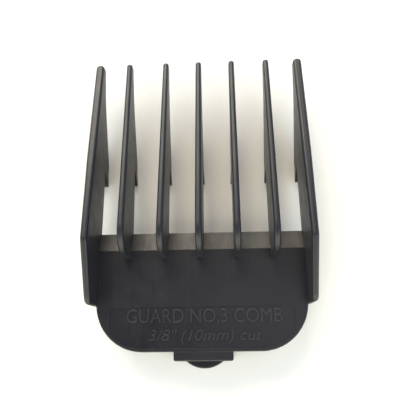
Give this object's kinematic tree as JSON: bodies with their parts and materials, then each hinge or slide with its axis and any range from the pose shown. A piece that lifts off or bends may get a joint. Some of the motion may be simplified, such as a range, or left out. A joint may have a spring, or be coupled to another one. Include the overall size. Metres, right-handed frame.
{
  "type": "clipper guard comb",
  "caption": "Clip-on guard comb for a hair clipper: tapered parallel teeth on a flat blade plate, side walls, hooks for the blade tips and a sprung rear latch.",
  "frame": {"origin": "middle of the flat face that lies on the clipper blade", "axes": "+X across the comb, +Y from the latch towards the tooth tips, +Z away from the blade"},
  "size_m": [0.0464, 0.0659, 0.0169],
  "materials": {
    "black_nylon": "satin moulded black nylon with fine flow texture",
    "panel_nylon": "fine spark-eroded matt texture"
  },
  "bodies": {
    "comb": {"base_plate": "black_nylon", "label_panel": "panel_nylon", "front_bevel_bar": "black_nylon", "left_side_wall": "black_nylon", "right_side_wall": "black_nylon", "tooth_1": "black_nylon", "tooth_2": "black_nylon", "tooth_3": "black_nylon", "tooth_4": "black_nylon", "tooth_5": "black_nylon", "tooth_6": "black_nylon", "tooth_7": "black_nylon", "tooth_1_hook": "black_nylon", "tooth_2_hook": "black_nylon", "tooth_3_hook": "black_nylon", "tooth_4_hook": "black_nylon", "tooth_5_hook": "black_nylon", "tooth_6_hook": "black_nylon", "tooth_7_hook": "black_nylon", "latch_root": "black_nylon", "latch_web": "black_nylon"},
    "latch": {"latch_arm": "black_nylon", "latch_catch": "black_nylon", "thumb_tab": "black_nylon"}
  },
  "joints": [
    {"name": "latch_flex", "type": "hinge", "parent": "comb", "child": "latch", "pos_m": [0, -0.0118, 0.0009], "axis": [-1, 0, 0], "range_deg": [0, 14], "stiffness_Nm_per_rad": 0.1, "deforming": ["latch_web"]}
  ]
}
